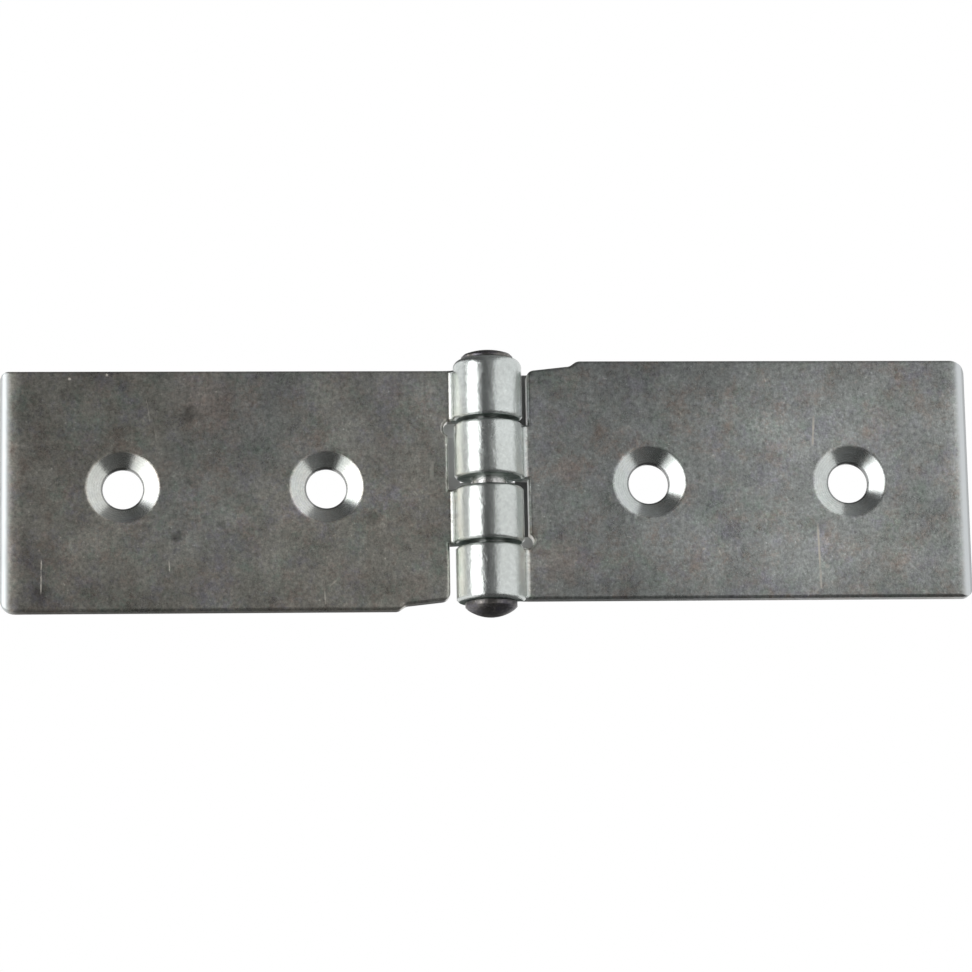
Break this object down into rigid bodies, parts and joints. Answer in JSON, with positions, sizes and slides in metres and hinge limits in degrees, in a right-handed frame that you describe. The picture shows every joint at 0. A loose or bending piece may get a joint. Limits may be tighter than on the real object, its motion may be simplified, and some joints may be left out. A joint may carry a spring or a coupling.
{
  "type": "furniture hinge",
  "caption": "Flat furniture hinge in zinc-plated sheet steel: two leaves with countersunk screw holes and rolled knuckles that interleave on a pin headed at both ends.",
  "frame": {"origin": "middle of the pin, on its axis", "axes": "+Z along the pin, up as fitted on an upright panel; +X from the left leaf to the right leaf, laid open flat; -Y out of the countersunk faces, +Y into the panel"},
  "size_m": [0.12, 0.0084, 0.0334],
  "materials": {
    "plated_sheet": "zinc-plated, dull and faintly mottled",
    "pin_steel": "plated, darkened heads"
  },
  "bodies": {
    "fixed_leaf": {"left_leaf": "plated_sheet", "hinge_pin": "pin_steel"},
    "swinging_leaf": {"right_leaf": "plated_sheet"}
  },
  "joints": [
    {"name": "leaf_swing", "type": "hinge", "parent": "fixed_leaf", "child": "swinging_leaf", "pos_m": [0, 0, 0], "axis": [0, 0, -1], "range_deg": [-125, 180]}
  ]
}
